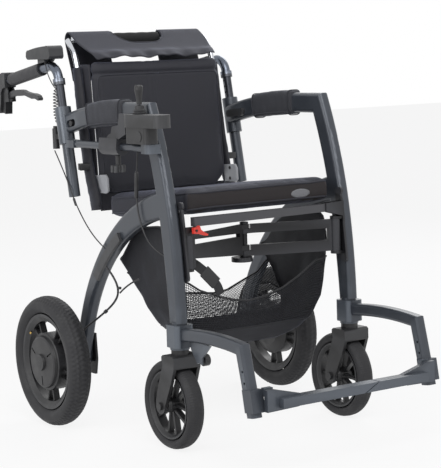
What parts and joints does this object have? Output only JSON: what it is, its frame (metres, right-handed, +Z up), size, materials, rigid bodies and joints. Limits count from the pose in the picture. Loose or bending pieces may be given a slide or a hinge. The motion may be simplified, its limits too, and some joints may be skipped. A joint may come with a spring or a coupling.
{
  "type": "rollator transport chair",
  "caption": "Folding walker that is also a transport chair: padded seat and back, armrests, joystick, powered rear wheels, swivelling front wheels, flip-up footrest and push handles.",
  "frame": {"origin": "on the floor, below the middle of the whole chair's length and width", "axes": "+Z up, the chair faces -Y, +X is the sitter's left"},
  "size_m": [0.744, 1.1569, 0.9511],
  "materials": {
    "frame_paint": "satin",
    "black_steel": "satin",
    "bright_tube": "satin",
    "black_plastic": "matte",
    "tyre": "matte",
    "grip_rubber": "matte",
    "boot_rubber": "matte",
    "padding": "matte",
    "seat_fabric": "matte",
    "sleeve_fabric": "matte",
    "basket_fabric": "matte",
    "foam": "matte",
    "red_plastic": "gloss"
  },
  "bodies": {
    "right_side": {"right_side_frame": "frame_paint", "right_arm_pad": "padding", "right_hinge_plate": "black_steel", "right_axle_plate": "black_steel", "arch_box": "black_plastic", "joystick_bar": "frame_paint", "joystick_bracket": "frame_paint", "joystick_housing": "black_plastic", "right_back_post": "sleeve_fabric", "back_cushion": "seat_fabric", "back_flap": "seat_fabric", "carry_grip": "foam", "seat_cushion": "seat_fabric", "basket": "basket_fabric", "joystick_cable": "boot_rubber", "brake_cable": "boot_rubber", "motor_cables": "boot_rubber", "coil_cable": "boot_rubber", "cable_connector": "black_plastic"},
    "left_side": {"left_side_frame": "frame_paint", "left_arm_pad": "padding", "left_hinge_plate": "black_steel", "left_axle_plate": "black_steel", "left_back_post": "sleeve_fabric"},
    "right_arm": {"right_link": "black_steel"},
    "left_arm": {"left_link": "black_steel"},
    "rail": {"front_rail": "frame_paint"},
    "latch": {"latch_lever": "red_plastic"},
    "boot": {"joystick_boot": "boot_rubber"},
    "stick": {"joystick_stick": "black_plastic"},
    "knob": {"clamp_knob": "black_plastic"},
    "roller": {"hanger_roller": "boot_rubber"},
    "right_rear": {"right_rear_tyre": "tyre", "right_rear_wheel": "black_plastic"},
    "right_fork": {"right_caster_fork": "black_plastic"},
    "right_caster": {"right_caster_tyre": "tyre", "right_caster_wheel": "black_plastic"},
    "right_lock": {"right_height_lock": "black_plastic"},
    "right_height": {"right_height_tube": "bright_tube"},
    "right_handle": {"right_handle_bar": "bright_tube", "right_hand_grip": "grip_rubber", "right_brake_housing": "black_plastic", "control_box": "black_plastic"},
    "right_brake": {"right_brake_lever": "black_plastic"},
    "right_hanger": {"right_footrest_hanger": "frame_paint"},
    "right_plate": {"right_footplate": "frame_paint"},
    "left_rear": {"left_rear_tyre": "tyre", "left_rear_wheel": "black_plastic"},
    "left_fork": {"left_caster_fork": "black_plastic"},
    "left_caster": {"left_caster_tyre": "tyre", "left_caster_wheel": "black_plastic"},
    "left_lock": {"left_height_lock": "black_plastic"},
    "left_height": {"left_height_tube": "bright_tube"},
    "left_handle": {"left_handle_bar": "bright_tube", "left_hand_grip": "grip_rubber", "left_brake_housing": "black_plastic"},
    "left_brake": {"left_brake_lever": "black_plastic"},
    "left_hanger": {"left_footrest_hanger": "frame_paint"},
    "left_plate": {"left_footplate": "frame_paint"}
  },
  "joints": [
    {"name": "fold", "type": "hinge", "parent": "right_side", "child": "right_arm", "pos_m": [-0.208, -0.2435, 0.45], "axis": [0, 0, 1], "range_deg": [0, 44], "deforming": ["seat_cushion", "back_cushion", "back_flap", "carry_grip", "basket"]},
    {"name": "link_hinge", "type": "hinge", "parent": "right_arm", "child": "left_arm", "pos_m": [0, -0.1645, 0.45], "axis": [0, 0, 1], "range_deg": [-88, 0]},
    {"name": "left_side_hinge", "type": "hinge", "parent": "left_arm", "child": "left_side", "pos_m": [0.208, -0.2435, 0.45], "axis": [0, 0, 1], "range_deg": [0, 44]},
    {"name": "rail_swing", "type": "hinge", "parent": "left_side", "child": "rail", "pos_m": [0.178, -0.2505, 0.516], "axis": [0, 1, 0], "range_deg": [0, 92.4]},
    {"name": "latch_press", "type": "hinge", "parent": "right_side", "child": "latch", "pos_m": [-0.203, -0.2675, 0.498], "axis": [0, 1, 0], "range_deg": [0, 20], "stiffness_Nm_per_rad": 0.2, "springref_deg": -22.92},
    {"name": "joystick_pitch", "type": "hinge", "parent": "right_side", "child": "boot", "pos_m": [-0.274, -0.1675, 0.757], "axis": [1, 0, 0], "range_deg": [-18, 18], "stiffness_Nm_per_rad": 0.6, "deforming": ["joystick_boot"]},
    {"name": "joystick_roll", "type": "hinge", "parent": "boot", "child": "stick", "pos_m": [-0.274, -0.1675, 0.757], "axis": [0, 1, 0], "range_deg": [-18, 18], "stiffness_Nm_per_rad": 0.6},
    {"name": "clamp_knob_turn", "type": "hinge", "parent": "right_side", "child": "knob", "pos_m": [-0.274, -0.0655, 0.64], "axis": [0, 0, 1], "continuous": true},
    {"name": "right_rear_spin", "type": "hinge", "parent": "right_side", "child": "right_rear", "pos_m": [-0.335, 0.1865, 0.158], "axis": [1, 0, 0], "continuous": true},
    {"name": "right_caster_swivel", "type": "hinge", "parent": "right_side", "child": "right_fork", "pos_m": [-0.241, -0.2465, 0.24], "axis": [0, 0, 1], "continuous": true},
    {"name": "right_caster_spin", "type": "hinge", "parent": "right_fork", "child": "right_caster", "pos_m": [-0.241, -0.2115, 0.1025], "axis": [1, 0, 0], "continuous": true},
    {"name": "right_height_lock_lift", "type": "hinge", "parent": "right_side", "child": "right_lock", "pos_m": [-0.241, 0.1865, 0.7286], "axis": [-1, 0, 0], "range_deg": [0, 15]},
    {"name": "right_height_slide", "type": "slide", "parent": "right_side", "child": "right_height", "axis": [0, 0.1908, 0.9816], "range_m": [-0.05, 0.08], "deforming": ["coil_cable"]},
    {"name": "right_handle_swivel", "type": "hinge", "parent": "right_height", "child": "right_handle", "pos_m": [-0.247, 0.2505, 0.827], "axis": [0, 0.1908, 0.9816], "range_deg": [0, 180], "deforming": ["coil_cable"]},
    {"name": "right_brake_squeeze", "type": "hinge", "parent": "right_handle", "child": "right_brake", "pos_m": [-0.247, 0.5145, 0.786], "axis": [-1, 0, 0], "range_deg": [0, 10], "stiffness_Nm_per_rad": 0.8, "springref_deg": -17.19},
    {"name": "right_hanger_swing", "type": "hinge", "parent": "right_side", "child": "right_hanger", "pos_m": [-0.241, -0.2465, 0.265], "axis": [0, 0, -1], "range_deg": [0, 90]},
    {"name": "right_footplate_flip", "type": "hinge", "parent": "right_hanger", "child": "right_plate", "pos_m": [-0.214, -0.5495, 0.18], "axis": [0, -1, 0], "range_deg": [0, 89.76]},
    {"name": "left_rear_spin", "type": "hinge", "parent": "left_side", "child": "left_rear", "pos_m": [0.335, 0.1865, 0.158], "axis": [1, 0, 0], "continuous": true},
    {"name": "left_caster_swivel", "type": "hinge", "parent": "left_side", "child": "left_fork", "pos_m": [0.241, -0.2465, 0.24], "axis": [0, 0, 1], "continuous": true},
    {"name": "left_caster_spin", "type": "hinge", "parent": "left_fork", "child": "left_caster", "pos_m": [0.241, -0.2115, 0.1025], "axis": [1, 0, 0], "continuous": true},
    {"name": "left_height_lock_lift", "type": "hinge", "parent": "left_side", "child": "left_lock", "pos_m": [0.241, 0.1865, 0.7286], "axis": [-1, 0, 0], "range_deg": [0, 15]},
    {"name": "left_height_slide", "type": "slide", "parent": "left_side", "child": "left_height", "axis": [0, 0.1908, 0.9816], "range_m": [-0.05, 0.08]},
    {"name": "left_handle_swivel", "type": "hinge", "parent": "left_height", "child": "left_handle", "pos_m": [0.247, 0.2505, 0.827], "axis": [0, -0.1908, -0.9816], "range_deg": [0, 180]},
    {"name": "left_brake_squeeze", "type": "hinge", "parent": "left_handle", "child": "left_brake", "pos_m": [0.247, 0.5145, 0.786], "axis": [-1, 0, 0], "range_deg": [0, 10], "stiffness_Nm_per_rad": 0.8, "springref_deg": -17.19},
    {"name": "left_hanger_swing", "type": "hinge", "parent": "left_side", "child": "left_hanger", "pos_m": [0.241, -0.2465, 0.265], "axis": [0, 0, 1], "range_deg": [0, 90]},
    {"name": "left_footplate_flip", "type": "hinge", "parent": "left_hanger", "child": "left_plate", "pos_m": [0.214, -0.5495, 0.18], "axis": [0, 1, 0], "range_deg": [0, 79.2]},
    {"name": "roller_spin", "type": "hinge", "parent": "right_hanger", "child": "roller", "pos_m": [-0.227, -0.3265, 0.218], "axis": [1, 0, 0], "continuous": true}
  ],
  "couplings": [
    {"joint": "link_hinge", "follows": "fold", "ratio": -2},
    {"joint": "left_side_hinge", "follows": "fold", "ratio": 1},
    {"joint": "rail_swing", "follows": "fold", "ratio": 2.1},
    {"joint": "right_footplate_flip", "follows": "fold", "ratio": 2.04},
    {"joint": "left_footplate_flip", "follows": "fold", "ratio": 1.8}
  ]
}
